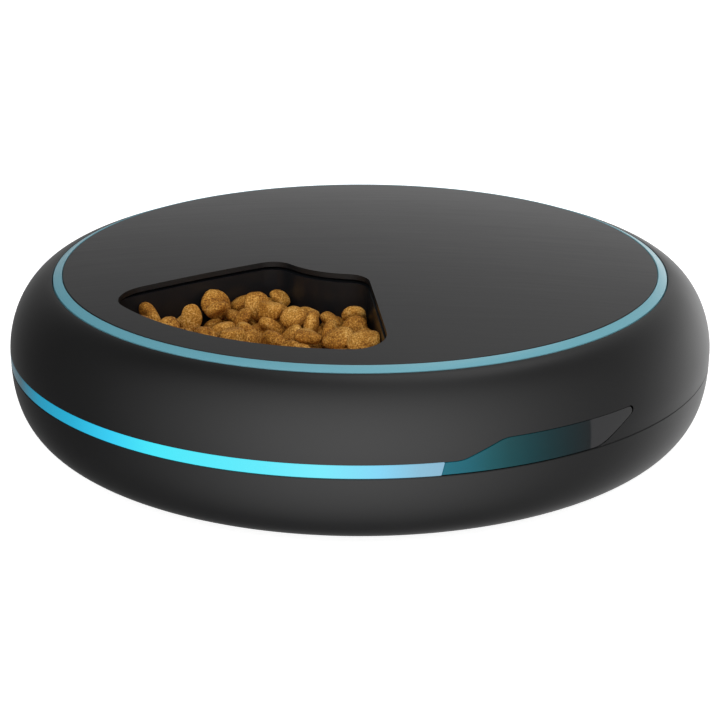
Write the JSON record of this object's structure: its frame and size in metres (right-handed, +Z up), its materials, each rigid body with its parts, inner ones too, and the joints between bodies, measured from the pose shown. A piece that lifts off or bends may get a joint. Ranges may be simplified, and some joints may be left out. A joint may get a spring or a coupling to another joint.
{
  "type": "automatic pet feeder",
  "caption": "Low round automatic pet feeder: a turning tray of compartments under a lift-off lid with one sector opening, a lit seam and a smoked display window.",
  "frame": {"origin": "centre of the footprint, on the floor under the feet", "axes": "+Z up along the tray's spindle; the display side faces -Y, the supply socket +Y; +X is to the right seen from the front"},
  "size_m": [0.33, 0.3294, 0.0847],
  "materials": {
    "body_plastic": "fine satin black",
    "lid_plastic": "dark grey, brushed look",
    "tray_plastic": "polished black",
    "teal_trim": "satin",
    "light_guide": "lit translucent",
    "smoked_window": "polished",
    "kibble": "dry food, grainy",
    "white_plastic": "satin",
    "gear_plastic": "natural",
    "digit_module": "polished",
    "socket_plastic": "polished",
    "bearing_bronze": "sintered",
    "steel": "bright zinc",
    "magnet": "nickel plated",
    "circuit_board": "solder mask",
    "rubber": "matte",
    "cell_jacket": "printed-free film jacket",
    "lead_insulation": "satin"
  },
  "bodies": {
    "housing": {"glide_ring": "white_plastic", "spindle": "steel", "spindle_clip": "steel", "gearbox": "white_plastic", "drive_motor": "steel", "upper_housing": "body_plastic", "lower_base": "body_plastic", "display_window": "smoked_window", "accent_light_guide": "light_guide", "led_strip": "white_plastic", "display_board": "circuit_board", "digit_display": "digit_module", "control_board": "circuit_board", "position_sensor_board": "circuit_board", "battery_box": "body_plastic", "dc_socket": "socket_plastic", "motor_lead": "lead_insulation", "supply_lead": "lead_insulation", "foot_1": "rubber", "battery_cell_1": "cell_jacket", "battery_contact_1": "steel", "case_screw_1": "steel", "board_screw_1": "steel", "foot_2": "rubber", "battery_cell_2": "cell_jacket", "battery_contact_2": "steel", "case_screw_2": "steel", "board_screw_2": "steel", "foot_3": "rubber", "battery_cell_3": "cell_jacket", "battery_contact_3": "steel", "case_screw_3": "steel", "board_screw_3": "steel", "foot_4": "rubber", "battery_cell_4": "cell_jacket", "battery_contact_4": "steel", "case_screw_4": "steel", "board_screw_4": "steel", "gearbox_screw_1": "steel", "display_screw_1": "steel", "gearbox_screw_2": "steel", "display_screw_2": "steel"},
    "lid": {"lid_cover": "lid_plastic", "lid_trim_ring": "teal_trim"},
    "tray": {"food_tray": "tray_plastic", "kibble_portion": "kibble", "turntable": "white_plastic", "drive_gear": "gear_plastic", "hub_bush": "bearing_bronze", "index_magnet_1": "magnet", "index_magnet_2": "magnet", "index_magnet_3": "magnet", "index_magnet_4": "magnet", "index_magnet_5": "magnet"},
    "pinion": {"motor_pinion": "gear_plastic", "output_shaft": "steel"},
    "battery_door": {"battery_door": "body_plastic"}
  },
  "joints": [
    {"name": "lid_lift", "type": "slide", "parent": "housing", "child": "lid", "axis": [0, 0, 1], "range_m": [0, 0.09]},
    {"name": "tray_spin", "type": "hinge", "parent": "housing", "child": "tray", "pos_m": [0, 0, 0.041], "axis": [0, 0, 1], "continuous": true},
    {"name": "pinion_spin", "type": "hinge", "parent": "housing", "child": "pinion", "pos_m": [0, 0.0375, 0.03], "axis": [0, 0, 1], "continuous": true},
    {"name": "battery_door_swing", "type": "hinge", "parent": "housing", "child": "battery_door", "pos_m": [0.084, -0.0518, 0.0026], "axis": [1, 0, 0], "range_deg": [-80, 0]}
  ],
  "couplings": [
    {"joint": "pinion_spin", "follows": "tray_spin", "ratio": -4}
  ]
}
